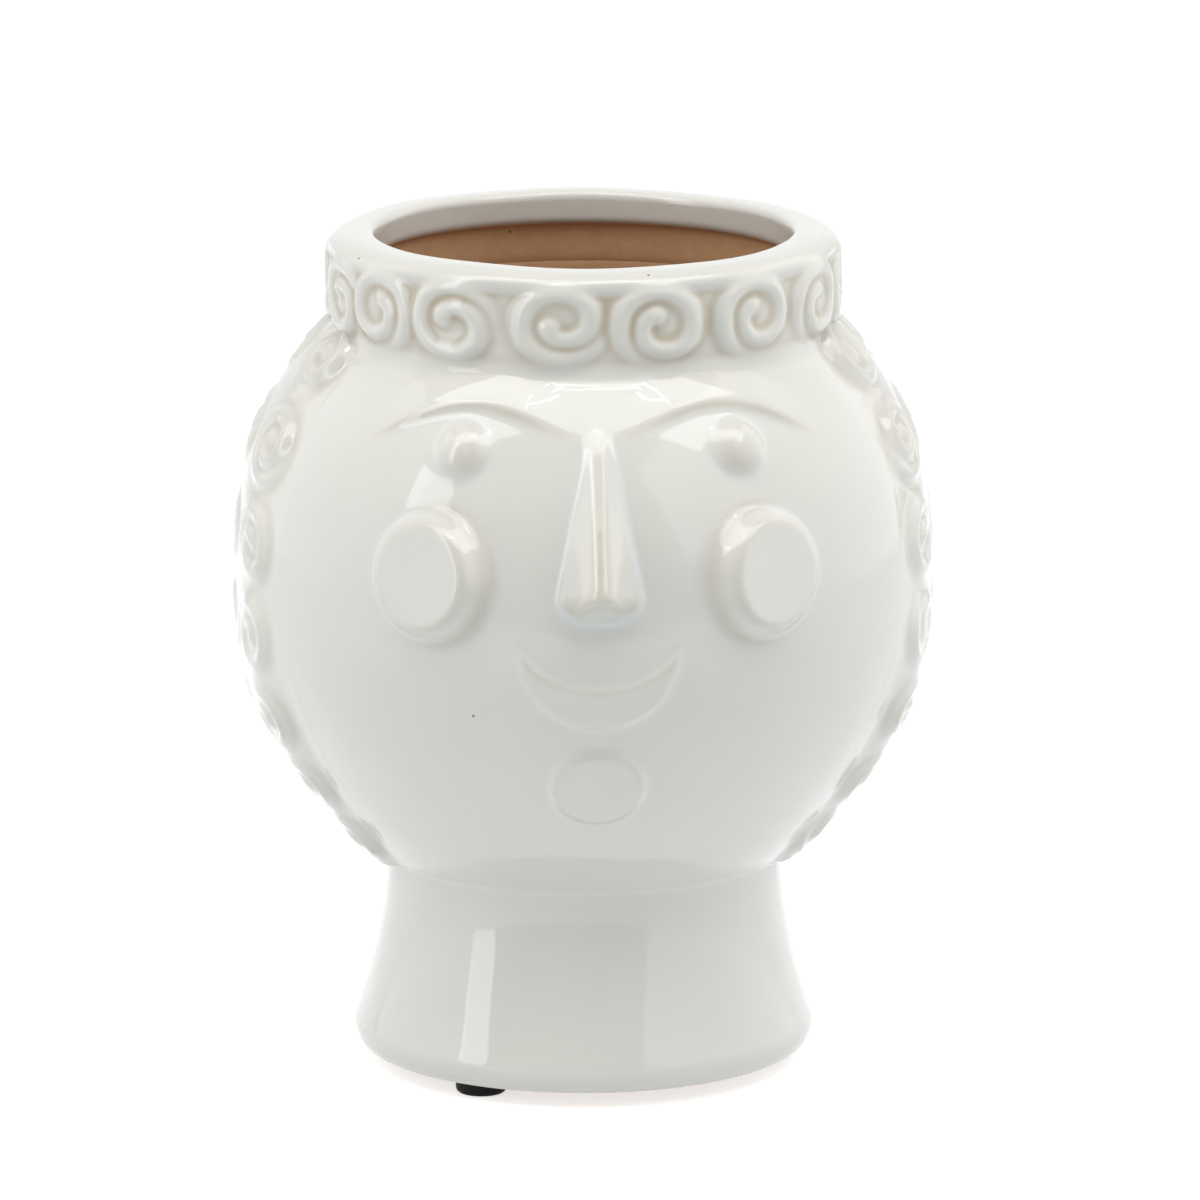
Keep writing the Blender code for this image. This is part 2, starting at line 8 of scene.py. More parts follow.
import bpy
import numpy as np
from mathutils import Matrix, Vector


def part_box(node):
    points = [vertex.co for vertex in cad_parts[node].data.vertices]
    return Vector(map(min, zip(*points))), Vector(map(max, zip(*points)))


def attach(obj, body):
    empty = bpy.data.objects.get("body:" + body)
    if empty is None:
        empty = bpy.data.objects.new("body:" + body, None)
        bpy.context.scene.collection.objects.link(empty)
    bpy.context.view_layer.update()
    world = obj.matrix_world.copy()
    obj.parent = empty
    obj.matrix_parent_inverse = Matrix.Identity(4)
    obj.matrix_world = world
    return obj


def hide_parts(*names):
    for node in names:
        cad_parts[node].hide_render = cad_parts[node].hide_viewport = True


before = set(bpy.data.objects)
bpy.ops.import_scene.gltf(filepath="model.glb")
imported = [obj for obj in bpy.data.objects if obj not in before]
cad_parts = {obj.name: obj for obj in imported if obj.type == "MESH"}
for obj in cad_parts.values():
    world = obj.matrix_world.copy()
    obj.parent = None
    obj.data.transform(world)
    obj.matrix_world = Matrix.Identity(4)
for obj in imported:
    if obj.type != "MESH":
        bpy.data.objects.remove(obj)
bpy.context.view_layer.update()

# ------------------------------------------------------------------------------------------------
# Body of the pot: one slip-cast shell of buff stoneware, with the face raised on its front. It is
# cast hollow in a plaster mould, wiped clean on the foot ring and inside, dipped in a white glaze
# and fired.
# ------------------------------------------------------------------------------------------------
FOOT_BOTTOM = 3.0
RECESS_TOP = 5.0
FLOOR_TOP = 10.5
NECK_TOP = 41.5
COLLAR_BOTTOM = 149.0
HEAD_HEIGHT = COLLAR_BOTTOM - NECK_TOP
HEAD_RADIUS = 66.5
WIDEST_SHARE = 0.493
HEAD_WIDEST = NECK_TOP + WIDEST_SHARE * HEAD_HEIGHT
CROWN_FULLNESS = 2.7
CHIN_FULLNESS = 1.85
NECK_RADIUS = 38.6
FOOT_RADIUS = 45.0
FOOT_BELLY = 8.0
FOOT_FULLNESS = 1.7
TOE_REACH = 3.0
RING_INSIDE = 27.0
FLOOR_RADIUS = 35.0
COLLAR_ROOT = 44.5
WALL = 5.0
GLAZE_SOFT = 0.55

# The pads stand on a circle round the pot's axis, so their middles give its place in the frame
pad_nodes = ["pad_left_front", "pad_right", "pad_left_back"]
pad_middles = [(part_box(name)[0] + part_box(name)[1]) / 2 * 1000 for name in pad_nodes]
AXIS_Y = sum(middle.y for middle in pad_middles) / 3


def head_radius(height):
    """Radius of the bare head: its widest less a power of the climb above, or of the drop below."""
    climb = np.clip((height - HEAD_WIDEST) / (COLLAR_BOTTOM - HEAD_WIDEST), 0, 1)
    drop = np.clip((HEAD_WIDEST - height) / (HEAD_WIDEST - NECK_TOP), 0, 1)
    crown = (HEAD_RADIUS - COLLAR_ROOT) * climb ** CROWN_FULLNESS
    chin = (HEAD_RADIUS - NECK_RADIUS) * drop ** CHIN_FULLNESS
    return HEAD_RADIUS - crown - chin


def flare_radius(height):
    """Radius of the pedestal: the neck's, plus a power of the drop towards the foot's belly."""
    drop = (NECK_TOP - height) / (NECK_TOP - FOOT_BELLY)
    return NECK_RADIUS + (FOOT_RADIUS - NECK_RADIUS) * drop ** FOOT_FULLNESS


head_heights = np.linspace(NECK_TOP, COLLAR_BOTTOM, 600)
head_radii = head_radius(head_heights)
head_run = np.concatenate([[0], np.cumsum(np.hypot(np.diff(head_heights), np.diff(head_radii)))])
HEAD_END = head_run[-1]
head_rise = np.gradient(head_heights, head_run)
head_spread = np.gradient(head_radii, head_run)


def run_at(share):
    """Distance run up the head's outline to a share of its height."""
    return np.interp(NECK_TOP + share * HEAD_HEIGHT, head_heights, head_run)


def radius_at(run):
    """Radius of the bare head at a run up its outline."""
    return np.interp(run, head_run, head_radii)


def on_head(azimuth, run, proud):
    """Point on the bare head at an azimuth and a run, moved out along the outline's normal."""
    rise, spread = np.interp(run, head_run, head_rise), np.interp(run, head_run, head_spread)
    length = np.hypot(rise, spread)
    radius = radius_at(run) + proud * rise / length
    height = np.interp(run, head_run, head_heights) - proud * spread / length
    x, y = radius * np.sin(azimuth), -radius * np.cos(azimuth)
    return np.stack(np.broadcast_arrays(x, y, height), -1)


def normal_at(azimuth, run):
    """Outward unit normal of the bare head: level part by the outline's rise, upright by its spread."""
    rise, spread = np.interp(run, head_run, head_rise), np.interp(run, head_run, head_spread)
    length = np.hypot(rise, spread)
    level, upright = rise / length, -spread / length
    x, y = level * np.sin(azimuth), -level * np.cos(azimuth)
    return np.stack(np.broadcast_arrays(x, y, upright), -1)


def blend_over(first, second, fillet):
    """Higher of two heights. Where they are less than a fillet apart a parabola joins them, which
    adds the squared rest of the fillet over 4 fillets."""
    apart = np.abs(first - second)
    return np.maximum(first, second) + np.clip(fillet - apart, 0, None) ** 2 / (4 * fillet)


def blend_under(first, second, fillet):
    """Lower of two heights, joined by the same parabola, which takes off what it adds there."""
    return -blend_over(-first, -second, fillet)


def smooth_step(value, start, end):
    """0 before start and 1 after end, with 3t^2 - 2t^3 between."""
    share = np.clip((value - start) / (end - start), 0, 1)
    return share * share * (3 - 2 * share)


def spaced(stops):
    """Grid lines through (place, gap) stops: even steps of about each stop's gap up to the next."""
    lines = []
    for (start, gap), (end, _) in zip(stops, stops[1:]):
        steps = max(int(np.ceil((end - start) / gap)), 1)
        lines.append(np.linspace(start, end, steps, endpoint=False))
    return np.concatenate(lines + [[stops[-1][0]]])


def softened(points, soft):
    """Outline through (radius, height) points at every 0.1 mm, each place the bell-curve average
    of its surroundings, as glaze rounds every corner. Gives run, radius, height and normal."""
    step = 0.1
    points = np.array(points, float)
    run = np.concatenate([[0], np.cumsum(np.hypot(*np.diff(points, axis=0).T))])
    fine = np.linspace(0, run[-1], int(run[-1] / step) + 1)
    radius, height = np.interp(fine, run, points[:, 0]), np.interp(fine, run, points[:, 1])
    reach = int(4 * soft / step)
    bell = np.exp(-0.5 * (np.arange(-reach, reach + 1) * step / soft) ** 2)
    bell /= bell.sum()
    sign = -1 if points[0, 0] == 0 else 1
    wide = np.concatenate([sign * radius[reach:0:-1], radius, sign * radius[-2:-reach - 2:-1]])
    tall = np.concatenate([height[reach:0:-1], height, height[-2:-reach - 2:-1]])
    radius, height = np.convolve(wide, bell, "valid"), np.convolve(tall, bell, "valid")
    across, up = np.gradient(radius, fine), np.gradient(height, fine)
    length = np.maximum(np.hypot(across, up), 1e-9)
    return fine, radius, height, up / length, -across / length


def turned_grid(outline, rows, azimuths, proud):
    """Grid of points: an outline carried round the axis, each point moved out along its normal."""
    radius, height, level, upright = (np.interp(rows, outline[0], part)[:, None] for part in outline[1:])
    reach = radius + proud * level
    x, y = reach * np.sin(azimuths), -reach * np.cos(azimuths)
    return np.stack(np.broadcast_arrays(x, y, height + proud * upright), -1)


def evened(heights, reach, rounds):
    """Heights averaged over the square of places round each. A few rounds of it are a bell curve."""
    wide = 2 * reach + 1
    for _ in range(rounds):
        for axis in (0, 1):
            heights = sum(np.roll(heights, step, axis) for step in range(-reach, reach + 1)) / wide
    return heights


def hollow(heights, reach):
    """How far each place lies under the average of the square of places round it."""
    return evened(heights, reach, 1) - heights


def piece_from_grid(name, grid, ends_meet, layers, middle=(0, AXIS_Y)):
    """Closed mesh of a grid whose columns go round. Its rows also close on each other, or the
    first and last row are each one point, joined by a fan. Layers become point attributes."""
    rows, columns = grid.shape[:2]
    if ends_meet:
        points = grid.reshape(-1, 3)
        number = np.arange(rows * columns).reshape(rows, columns)
        low, high = number, np.roll(number, -1, 0)
        fans = np.empty((0, 3), int)
        picked = {key: layer.reshape(-1) for key, layer in layers.items()}
    else:
        points = np.concatenate([grid[0, :1], grid[1:-1].reshape(-1, 3), grid[-1, :1]])
        number = np.arange(1, 1 + (rows - 2) * columns).reshape(rows - 2, columns)
        low, high = number[:-1], number[1:]
        first, last = np.zeros(columns, int), np.full(columns, len(points) - 1)
        start = np.stack([first, np.roll(number[0], -1), number[0]], -1)
        end = np.stack([last, number[-1], np.roll(number[-1], -1)], -1)
        fans = np.concatenate([start, end])
        picked = {
            key: np.concatenate([layer[0, :1], layer[1:-1].reshape(-1), layer[-1, :1]])
            for key, layer in layers.items()
        }
    quads = np.stack([low, np.roll(low, -1, 1), np.roll(high, -1, 1), high], -1).reshape(-1, 4)
    points = (points + [middle[0], middle[1], 0]) / 1000
    mesh = bpy.data.meshes.new(name)
    mesh.from_pydata(points.tolist(), [], quads.tolist() + fans.tolist())
    mesh.shade_smooth()
    for key, values in picked.items():
        mesh.attributes.new(key, "FLOAT", "POINT").data.foreach_set("value", values.astype(np.float32))
    piece = bpy.data.objects.new(name, mesh)
    bpy.context.scene.collection.objects.link(piece)
    return piece


def eye_dome(azimuth, run):
    """Half-sunk ball: its proud times 1 less the squared share of its radius, to the power 0.7. The
    right one stands 1.6 degrees further out. Also painted shade, tan, low on its nose side, a
    bell curve 2.6 mm to each side."""
    radius, proud, fullness, middle = 5.5, 2.8, 0.7, run_at(0.842)
    left_eye, right_eye, eye_shade_reach = 25.8, 27.4, 2.6
    turned_out = np.radians(np.where(azimuth > 0, right_eye, left_eye))
    across = (np.abs(azimuth) - turned_out) * radius_at(middle)
    away = np.hypot(across, run - middle)
    inside = proud * np.clip(1 - (away / radius) ** 2, 0, None) ** fullness
    tan_tint = np.exp(-(np.hypot(across + 1.6, run - middle + 2.2) / eye_shade_reach) ** 2)
    return np.where(away < radius, inside, 0.9 * (radius - away)), tan_tint


def brow_ledge(azimuth, run):
    """Brow from 9 to 45 degrees: a sine over the straight line between its ends. Above that line
    it fades into the forehead over 11 mm, below it falls to the eye's hollow over 3.2 mm. Also the
    strength of a line of painted shade, tan, along its lower edge, a bell curve 0.7 mm to each side."""
    inner, outer = np.radians(9), np.radians(45)
    inner_height, outer_height, arch, proud = 0.889, 0.860, 0.044, 0.9
    fade_up, fall_down, shade_under, shade_width = 11.0, 3.2, 1.3, 0.7
    share = (np.abs(azimuth) - inner) / (outer - inner)
    held = np.clip(share, -0.15, 1.1)
    line = run_at(inner_height + (outer_height - inner_height) * held + arch * np.sin(np.pi * held))
    above = run - line
    upper = 1 - smooth_step(above, 0.0, fade_up)
    lower = 1 - smooth_step(-above, 0.0, fall_down)
    ends = smooth_step(share, -0.15, 0.2) * (1 - smooth_step(share, 0.75, 1.1))
    shade_line = np.exp(-((above + shade_under) / shade_width) ** 2)
    return proud * np.where(above > 0, upper, lower) * ends, shade_line * ends


def nose_wedge(azimuth, run):
    """Wedge under three faces, rounded where they meet: a straight ridge down to the tip, whose
    height is where the head's normal meets it; flanks that fall from the ridge to the skin by the
    power 0.85 of the way left; and an underside that climbs 2.1 to 1 from a base line that a cube
    arches. Also where the ridge's glaze is thin."""
    top, tip, top_proud, tip_proud = run_at(0.858), run_at(0.606), 1.0, 10.95
    top_half, more_half, top_ridge, more_ridge = 2.1, 5.6, 0.85, 0.35
    root_slope, root_start = 16.0, 0.07
    base_drop, base_arch, base_half, under_slope = 5.6, 4.0, 8.3, 2.1
    start, end = on_head(0.0, top, top_proud), on_head(0.0, tip, tip_proud)
    along = end - start
    base, normal = on_head(0.0, run, 0.0), normal_at(0.0, run)
    cross = (start[1] - base[..., 1]) * along[2] - (start[2] - base[..., 2]) * along[1]
    ridge_line = cross / (normal[..., 1] * along[2] - normal[..., 2] * along[1])
    share = (top - run) / (top - tip)
    half, ridge = top_half + more_half * share, top_ridge + more_ridge * share
    across = np.abs(azimuth) * radius_at(run)
    left = (half - across) / np.maximum(half - ridge, 0.5)
    flank = ridge_line * np.sign(left) * np.abs(left) ** 0.85
    # The root between the brows starts as a ramp, so it comes out of the head without a step
    flank = blend_under(flank, root_slope * (share + root_start), 1.6)
    base_line = tip - base_drop + base_arch * (across / base_half) ** 3
    underside = under_slope * (run - base_line)
    height = blend_under(ridge_line + 0 * across, flank, 0.5)
    worn = (1 - smooth_step(across, ridge - 0.2, ridge + 0.4)) * smooth_step(share, 0.04, 0.12)
    return blend_under(height, underside, 3.4), worn * (1 - smooth_step(share, 0.95, 1.02))


def cheek_disc(azimuth, run, side):
    """Flat disc turned outwards: its plane less 4 times what lies outside its radius. The height
    along the head's normal is found by stepping towards it. Also painted shade, tan, at the foot of its
    wall, a bell curve 0.7 mm to each side of a ring outside the flat, where the wall is high."""
    middle, turn, radius, proud, wall_slope = run_at(0.624), side * np.radians(42), 11.2, 2.5, 4.0
    wall_shade_reach, shade_width = radius + 1.4, 0.7
    centre = on_head(side * np.radians(30), middle, proud)
    facing = normal_at(turn, middle)
    base, normal = on_head(azimuth, run, 0.0), normal_at(azimuth, run)
    square = np.maximum(normal @ facing, 0.35)
    gap = (centre - base) @ facing
    height = gap / square
    for _ in range(22):
        point = base + height[..., None] * normal - centre
        away = np.sqrt(np.clip((point ** 2).sum(-1) - (point @ facing) ** 2, 0, None))
        outside = blend_over(away - radius, 0 * away, 1.6)
        height = 0.78 * height + 0.22 * (gap - outside * wall_slope) / square
        height = np.clip(height, -4, 12)
    deep = smooth_step((on_head(azimuth, run, 0.0) - centre) @ facing, -2.5, -5.0)
    return height, np.exp(-((away - wall_shade_reach) / shade_width) ** 2) * deep


def edge_round(inside, proud, edge):
    """Height of a raised slab from the distance inside its border: its proud times 1 less the
    squared share of the edge that is left, to the power 0.75. Outside the border it falls away."""
    share = 1 - np.clip(inside / edge, 0, 1)
    return np.where(inside > 0, proud * (1 - share ** 2) ** 0.75, 0.8 * inside)


def smile_slab(azimuth, run):
    """Crescent outside an upper circle and inside a lower one. They cross at its corners, 15.5 mm
    to each side, 7.0 mm over the upper one's lowest point and 16.1 mm over the lower one's."""
    corner, proud = run_at(0.504), 1.35
    upper_middle, upper_radius, lower_middle, lower_radius = 13.66, 20.66, -0.59, 15.51
    x, y = azimuth * radius_at(corner), run - corner
    upper = np.hypot(x, y - upper_middle) - upper_radius
    lower = lower_radius - np.hypot(x, y - lower_middle)
    return blend_under(edge_round(upper, proud, 1.1), edge_round(lower, proud, 2.4), 0.4)


def chin_disc(azimuth, run):
    """Flat round disc, square to the head behind it, with an edge as round as it is proud."""
    middle, radius, proud = run_at(0.240), 9.2, 1.3
    away = np.hypot(azimuth * radius_at(middle), run - middle)
    return edge_round(radius - away, proud, proud)


# Outline from the recess under the foot, over the outside and the top, down the wall to the floor
ring_outside = FOOT_RADIUS - TOE_REACH
body_points = [
    (0, RECESS_TOP), (RING_INSIDE - 2, RECESS_TOP), (RING_INSIDE, FOOT_BOTTOM), (ring_outside, FOOT_BOTTOM),
]
toe = np.radians(np.linspace(-90, 0, 13)[1:])
toe_height = FOOT_BELLY + (FOOT_BELLY - FOOT_BOTTOM) * np.sin(toe)
body_points += list(zip(ring_outside + TOE_REACH * np.cos(toe), toe_height))
flare_heights = np.linspace(FOOT_BELLY, NECK_TOP, 40)[1:-1]
body_points += list(zip(flare_radius(flare_heights), flare_heights))
to_neck = len(body_points)
body_points += list(zip(head_radii, head_heights))
# The top edge, hidden inside the collar
body_points += [(44.4, 152.0), (43.9, 152.7), (43.3, 152.3), (42.7, 150.8), (42.5, 149.2), (42.9, 146.6)]
wall_line = on_head(0.0, np.array([run_at(share) for share in np.linspace(0.9, 0.04, 20)]), -WALL)
body_points += list(zip(-wall_line[:, 1], wall_line[:, 2]))
inner_heights = np.linspace(NECK_TOP, FLOOR_TOP + 1.5, 8)[1:]
body_points += list(zip(flare_radius(inner_heights) - WALL, inner_heights))
body_points += [(FLOOR_RADIUS, FLOOR_TOP), (0, FLOOR_TOP)]
body_outline = softened(body_points, GLAZE_SOFT)
steps_run = np.hypot(*np.diff(np.array(body_points), axis=0).T)
NECK_RUN = steps_run[:to_neck].sum()
TOP_RUN = NECK_RUN + HEAD_END
FOOT_RUN = steps_run[:3].sum()

# Rows and columns lie closest over the face, the creases and the edges of the bare clay
body_rows = spaced([
    (0, 6), (23.5, 0.6), (29.5, 3), (FOOT_RUN - 1.5, 0.7), (FOOT_RUN + 9, 2), (NECK_RUN - 3, 0.6),
    (NECK_RUN + 4, 1.3), (NECK_RUN + 18, 0.5), (NECK_RUN + 118, 0.9), (TOP_RUN + 2, 1), (TOP_RUN + 12, 6),
    (body_outline[0][-1] - 42, 1.2), (body_outline[0][-1] - 32, 7), (body_outline[0][-1], 7),
])
body_azimuths = np.radians(spaced([
    (-180, 4.6), (-80, 1.0), (-47, 0.49), (47, 1.0), (80, 4.6), (180, 1),
])[:-1])
face_run = (body_rows - NECK_RUN)[:, None]
on_face = (face_run > 1) & (face_run < HEAD_END - 1)
column = body_azimuths[None, :]
brow, brow_shade = brow_ledge(column, face_run)
nose, nose_worn = nose_wedge(column, face_run)
eye, eye_shade = eye_dome(column, face_run)
relief = blend_over(eye, brow, 1.6)
relief = blend_over(relief, nose, 1.0)
relief = blend_over(relief, smile_slab(column, face_run), 0.9)
relief = blend_over(relief, chin_disc(column, face_run), 0.9)
# Painted shade, in tan, along the brows' lower edges, low on the eyes and at the cheeks' high walls
LEDGE_SHADE, EYE_SHADE = 0.55, 0.3
face_painted_shade = np.maximum(LEDGE_SHADE * brow_shade, EYE_SHADE * eye_shade)
for side in (-1, 1):
    cheek, wall_shade = cheek_disc(column, face_run, side)
    relief = blend_over(relief, cheek, 2.8)
    face_painted_shade = np.maximum(face_painted_shade, LEDGE_SHADE * wall_shade)
relief = evened(np.where(on_face & (np.abs(column) < np.radians(60)), relief, 0), 1, 1)

body_grid = turned_grid(body_outline, body_rows, body_azimuths, relief)
# Glaze pools in hollows up to half a millimetre deep, and thins where an edge stands out sharply
pool = np.clip(hollow(relief, 4) / 0.5, 0, 1)
edge = 0.5 * np.clip(-hollow(relief, 2) / 0.18 - 0.3, 0, 1)
# Bare clay from the top edge inwards and on the foot ring
bare = smooth_step(body_rows, TOP_RUN + 1, TOP_RUN + 3)
bare = bare + smooth_step(body_rows, 25.4, 27.2) - smooth_step(body_rows, FOOT_RUN - 1, FOOT_RUN + 1.2)
layers = {
    "painted_shade": face_painted_shade * on_face,
    "pool": pool * on_face,
    "edge": np.maximum(edge * (1 - nose_worn), 0.9 * nose_worn) * on_face,
    "bare": np.broadcast_to(bare[:, None], relief.shape),
}
pot_body = piece_from_grid("pot_body", body_grid, False, layers)


def to_linear(code):
    """sRGB hex code to linear red, green, blue and alpha: the standard curve, channel by channel."""
    channels = [int(code[place:place + 2], 16) / 255 for place in (1, 3, 5)]
    return [c / 12.92 if c <= 0.04045 else ((c + 0.055) / 1.055) ** 2.4 for c in channels] + [1]


def add_node(tree, kind, settings=None, links=None):
    """Add a node with its settings. Each link gives an input's name or number a value or a socket.
    In a colour mix 0 is the share, 6 and 7 the two colours, and output 2 the mixed one."""
    node = tree.nodes.new("ShaderNode" + kind)
    for key, value in (settings or {}).items():
        setattr(node, key, value)
    for key, value in (links or {}).items():
        if isinstance(value, bpy.types.NodeSocket):
            tree.links.new(value, node.inputs[key])
        else:
            node.inputs[key].default_value = value
    return node


# White glaze over buff stoneware: opaque and glossy, thin over sharp edges, where the clay shows
# tan, and bluish where it gathers thick. Shade is painted in tan into the curls' grooves, along the
# brows, low on the eyes and at the cheeks' walls. Bare clay inside is matt.
# A pattern's scale is 1 over its size in metres: the glaze mottles over 22 mm and ripples over
# 14 mm, pinholes lie 16 mm apart, and the clay's grit is drawn at 2.4 mm, coarser than the real
# 0.5 mm, to show.
glazed_stoneware = bpy.data.materials.new("white_glaze_on_buff_stoneware")
glazed_stoneware.use_nodes = True
tree = glazed_stoneware.node_tree
shader = tree.nodes["Principled BSDF"]
place = add_node(tree, "TexCoord").outputs["Object"]
mottle = add_node(tree, "TexNoise", links={"Vector": place, "Scale": 45, "Detail": 3, "Roughness": 0.55})
grain = add_node(tree, "TexNoise", links={"Vector": place, "Scale": 420, "Detail": 4, "Roughness": 0.6})
painted_shade = add_node(tree, "Attribute", {"attribute_name": "painted_shade"})
pool = add_node(tree, "Attribute", {"attribute_name": "pool"})
ridge = add_node(tree, "Attribute", {"attribute_name": "edge"})
bare_clay = add_node(tree, "Attribute", {"attribute_name": "bare"})
white = add_node(tree, "Mix", {"data_type": "RGBA"}, {
    0: mottle.outputs["Fac"], 6: to_linear("#D3D1CA"), 7: to_linear("#CDCCC5")})
cool_share = add_node(tree, "Math", {"operation": "MULTIPLY"}, {0: pool.outputs["Fac"], 1: 0.4})
cool = add_node(tree, "Mix", {"data_type": "RGBA"}, {
    0: cool_share.outputs[0], 6: white.outputs[2], 7: to_linear("#CFD5D6")})
# Painted shade tints the glaze tan, unevenly with the mottle
shade_mottle = add_node(tree, "MapRange", links={"Value": mottle.outputs["Fac"], "From Min": 0.3, "From Max": 0.7,
                                           "To Min": 0.6, "To Max": 1.0})
tan_share = add_node(tree, "Math", {"operation": "MULTIPLY"}, {
    0: painted_shade.outputs["Fac"], 1: shade_mottle.outputs[0]})
tan = add_node(tree, "Mix", {"data_type": "RGBA"}, {
    0: tan_share.outputs[0], 6: cool.outputs[2], 7: to_linear("#AFA38D")})
thin_share = add_node(tree, "Math", {"operation": "MULTIPLY"}, {0: ridge.outputs["Fac"], 1: 0.5})
tan_tint = add_node(tree, "Mix", {"data_type": "RGBA"}, {
    0: thin_share.outputs[0], 6: tan.outputs[2], 7: to_linear("#ABA08A")})
clay = add_node(tree, "Mix", {"data_type": "RGBA"}, {
    0: grain.outputs["Fac"], 6: to_linear("#CDA37A"), 7: to_linear("#B88C64")})
finish = add_node(tree, "Mix", {"data_type": "RGBA"}, {
    0: bare_clay.outputs["Fac"], 6: tan_tint.outputs[2], 7: clay.outputs[2]})
holes = add_node(tree, "TexVoronoi", links={"Vector": place, "Scale": 62, "Randomness": 1.0})
hole_share = add_node(tree, "MapRange", links={"Value": holes.outputs["Distance"], "From Min": 0.012,
                                               "From Max": 0.024, "To Min": 0.8, "To Max": 0.0})
spotted = add_node(tree, "Mix", {"data_type": "RGBA"}, {
    0: hole_share.outputs[0], 6: finish.outputs[2], 7: to_linear("#5A4632")})
gloss = add_node(tree, "MapRange", links={"Value": bare_clay.outputs["Fac"], "To Min": 0.05, "To Max": 0.8})
wave = add_node(tree, "TexNoise", links={"Vector": place, "Scale": 70, "Detail": 2, "Roughness": 0.5})
ripple = add_node(tree, "Bump", links={"Height": wave.outputs["Fac"], "Strength": 0.14, "Distance": 0.0012})
rough_share = add_node(tree, "Math", {"operation": "MULTIPLY"}, {0: bare_clay.outputs["Fac"], 1: 0.12})
tooth = add_node(tree, "Bump", links={"Height": grain.outputs["Fac"], "Strength": rough_share.outputs[0],
                                      "Distance": 0.0004, "Normal": ripple.outputs[0]})
tree.links.new(spotted.outputs[2], shader.inputs["Base Color"])
tree.links.new(gloss.outputs[0], shader.inputs["Roughness"])
tree.links.new(tooth.outputs[0], shader.inputs["Normal"])
shader.inputs["IOR"].default_value = 1.56
pot_body.data.materials.append(glazed_stoneware)
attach(pot_body, "root")
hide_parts("pot")

# ------------------------------------------------------------------------------------------------
# Hair: rows of spiral curls over the back and sides, raised in the same mould as the head, on a
# soft sheet of clay that swells out of it, and softened by the glaze between their strands.
# ------------------------------------------------------------------------------------------------
STRAND = 2.6
CURL_REACH = 6.9
CURL_INNER = 2.5
CURL_TAIL = -1.1
CURL_RISEN = 0.9
CURL_TURNS_IN = 4.1
CURL_IS_IN = 7.2
CURL_END = 9.3
CURL_CLOSING = 0.5
CURL_SPAN = 19.0
HAIR_PROUD = 2.1
ROW_PITCH = 17.3
ROW_CLOSING = 0.2
CURL_TURNING = np.radians(137.5)
HAIRLINE = np.radians(75.5)
HAIR_EDGE = 64
WIDEST_RUN = run_at(WIDEST_SHARE)


def curl_relief(x, y, hand, strand=STRAND, end=CURL_END):
    """Share of a spiral strand's height over a flat point, and the point's distance from its middle.

    The strand's centre line keeps its reach for two thirds of a turn, runs in to the inner reach
    over the next half turn, and then closes slowly until it ends in a bead. Across it the height is
    1 less the squared share of its half width. Its tail starts further out, rising from the clay.
    Angles along the strand are in radians."""
    away, angle = np.hypot(x, y), (hand * np.arctan2(y, x)) % (2 * np.pi)
    height = np.full(x.shape, -1.0)
    for lap in (-1, 0, 1):
        turned = angle + 2 * np.pi * lap
        rise = smooth_step(turned, CURL_TAIL, CURL_RISEN)
        reach = CURL_REACH - (CURL_REACH - CURL_INNER) * smooth_step(turned, CURL_TURNS_IN, CURL_IS_IN)
        reach = reach - CURL_CLOSING * np.clip(turned - CURL_IS_IN, 0, None) + 1.1 * (1 - rise)
        off = np.where((turned > CURL_TAIL) & (turned < end), np.abs(away - reach) / strand, 1.5)
        height = blend_over(height, 0.3 + 0.7 * rise - off ** 2, 0.3)
    bead_reach = CURL_INNER - CURL_CLOSING * (end - CURL_IS_IN)
    bead_x, bead_y = bead_reach * np.cos(end), hand * bead_reach * np.sin(end)
    bead = np.hypot(x - bead_x, y - bead_y) / (0.95 * strand)
    return blend_over(height, 1.05 - bead ** 2, 0.3), away


def head_curls():
    """Each curl's azimuth, run, turn, hand, width and height share. A row's drop is its share of the
    way times 1 plus the closing, less the closing times the squared share, so the rows close up
    evenly downwards. A curl that is lower than full size is narrower by the root of its height."""
    top, bottom = HEAD_END - CURL_SPAN / 2, CURL_SPAN / 2
    gaps = int(round((top - bottom) / ROW_PITCH))
    shares = np.linspace(0, 1, gaps + 1)
    drops = shares * (1 + ROW_CLOSING) - ROW_CLOSING * shares ** 2
    pitches = (top - bottom) / gaps * (1 + ROW_CLOSING * (1 - 2 * shares))
    span = 2 * (np.pi - HAIRLINE)
    curls = []
    for row, (run, pitch) in enumerate(zip(top - (top - bottom) * drops, pitches)):
        tall = min(pitch / CURL_SPAN, 1)
        width = math.sqrt(tall)
        count = int(radius_at(run) * span / (CURL_SPAN * width))
        for place_in_row, azimuth in enumerate(np.linspace(HAIRLINE, HAIRLINE + span, count + 1)):
            hand = 1 if azimuth < np.pi else -1
            turn = np.pi / 2 + (row + place_in_row) * CURL_TURNING
            curls.append((azimuth, run, turn, hand, width, tall))
    return curls


def hair_proud(run):
    """Height of the strands over the head: 0.8 mm more well above its widest, and up to 1.6 mm more
    below it, half of which goes again towards the neck."""
    over = run - WIDEST_RUN
    below = smooth_step(-over, 3, 20) * (1.6 - 0.8 * smooth_step(-over, 28, 45))
    return HAIR_PROUD + 0.8 * smooth_step(over, 12, 32) + below


